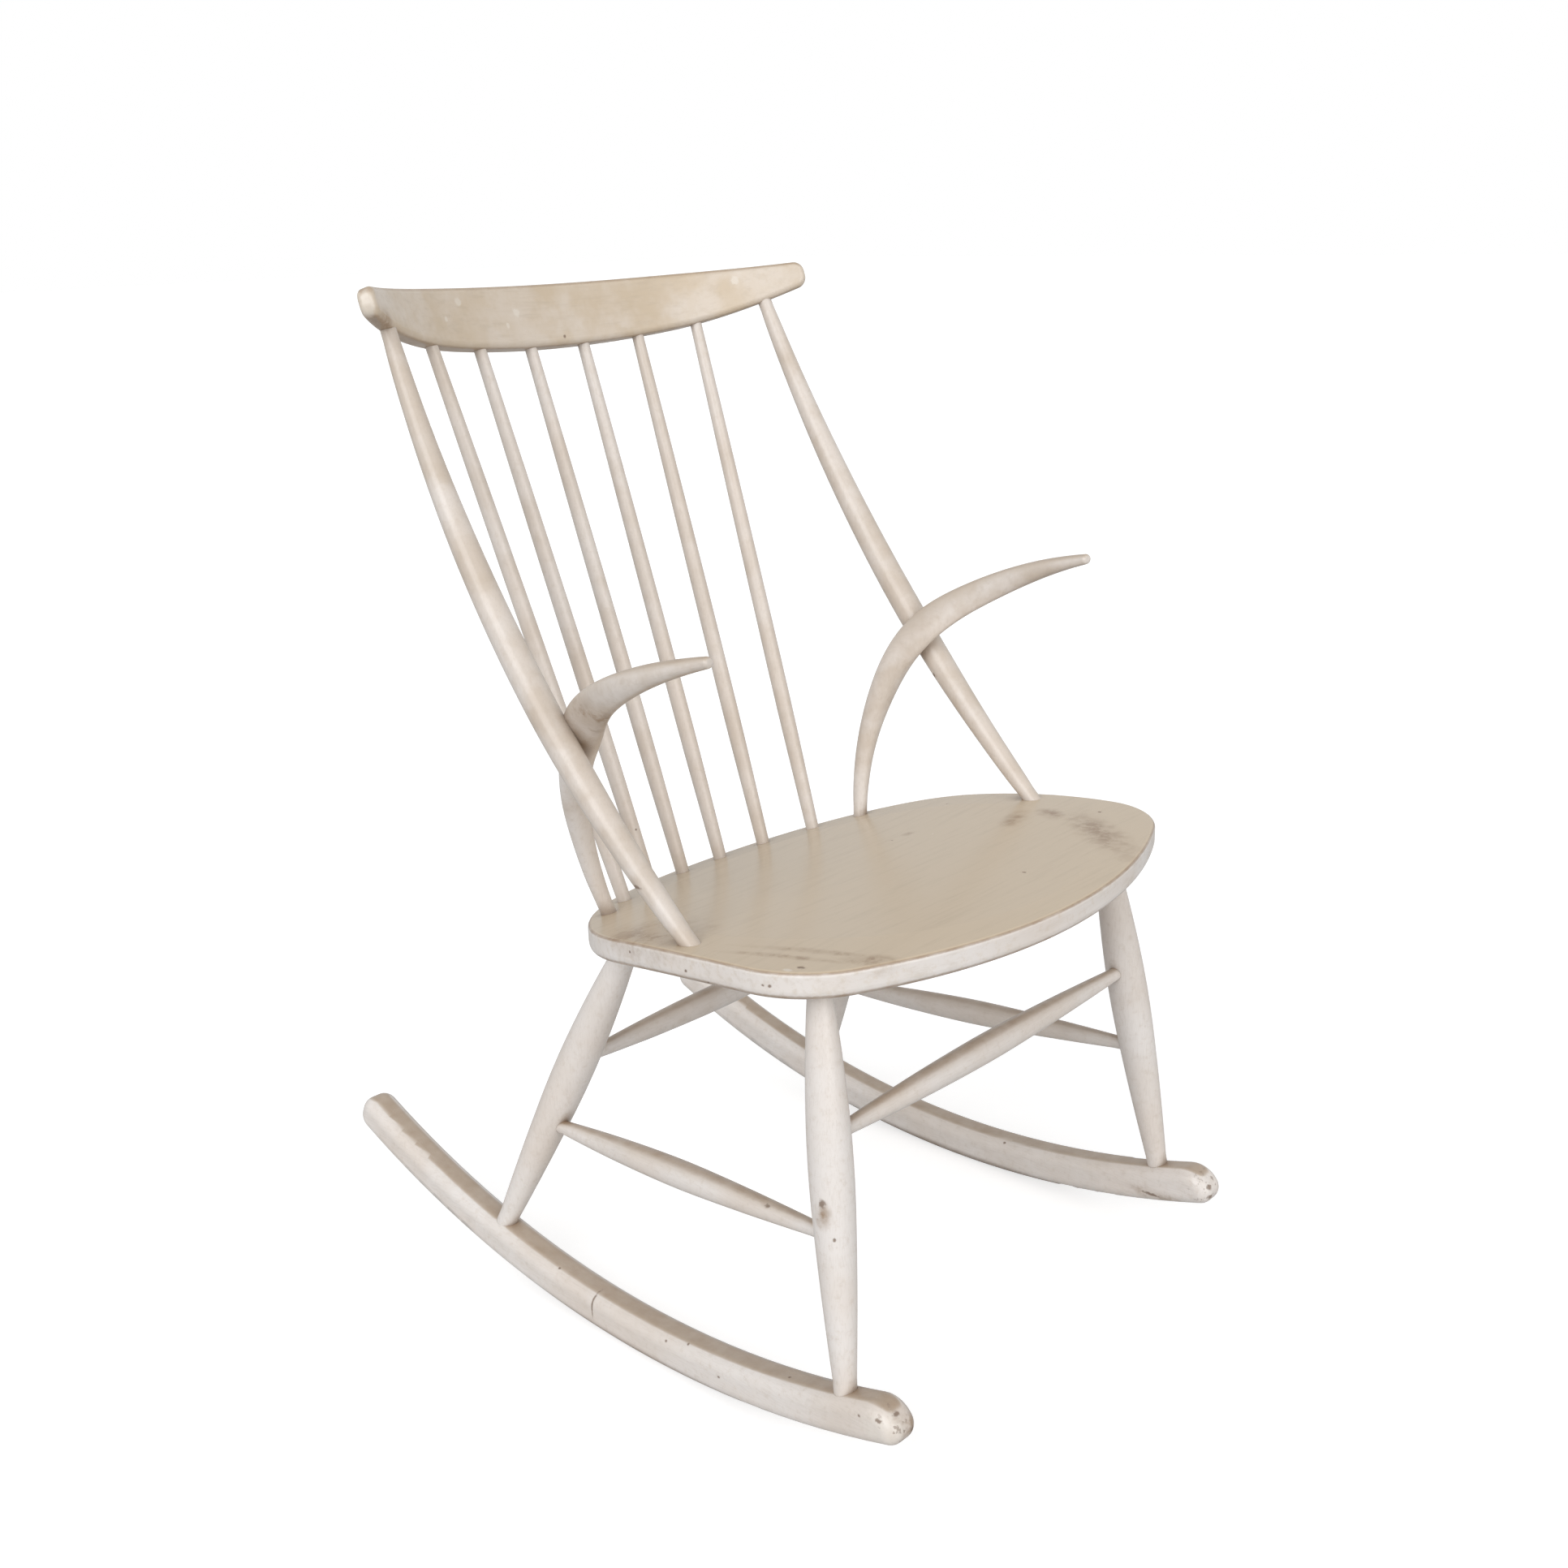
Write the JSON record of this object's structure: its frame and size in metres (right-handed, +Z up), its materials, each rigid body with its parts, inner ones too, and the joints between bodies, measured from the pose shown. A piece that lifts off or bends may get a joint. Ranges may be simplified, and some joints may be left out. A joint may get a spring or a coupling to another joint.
{
  "type": "rocking chair",
  "caption": "Painted wooden rocking chair with a dished seat, a spindle back under a bent crest rail, bowed back posts, sickle-shaped arms and turned legs on two rockers.",
  "frame": {"origin": "on the floor under the chair at rest, on its middle plane, midway between the front and rear rocker tips", "axes": "+Z up; the chair faces -Y, so +Y runs to its back; +X towards the sitter's left"},
  "size_m": [0.5684, 0.7439, 0.9612],
  "materials": {
    "seat_paint": "worn cream paint, brown along the dish",
    "crest_paint": "worn cream paint",
    "arm_paint": "worn cream paint, darker under the hand",
    "turned_paint": "worn cream paint",
    "rocker_paint": "worn cream paint, chipped at the tips"
  },
  "bodies": {
    "root": {"seat": "seat_paint", "crest_rail": "crest_paint", "back_post_left": "turned_paint", "back_post_right": "turned_paint", "arm_left": "arm_paint", "arm_right": "arm_paint", "back_spindle_1_left": "turned_paint", "back_spindle_1_right": "turned_paint", "back_spindle_2_left": "turned_paint", "back_spindle_2_right": "turned_paint", "back_spindle_3_left": "turned_paint", "back_spindle_3_right": "turned_paint", "front_leg_left": "turned_paint", "front_leg_right": "turned_paint", "rear_leg_left": "turned_paint", "rear_leg_right": "turned_paint", "rocker_left": "rocker_paint", "rocker_right": "rocker_paint", "front_stretcher": "turned_paint", "rear_stretcher": "turned_paint", "side_stretcher_left": "turned_paint", "side_stretcher_right": "turned_paint"}
  },
  "joints": []
}
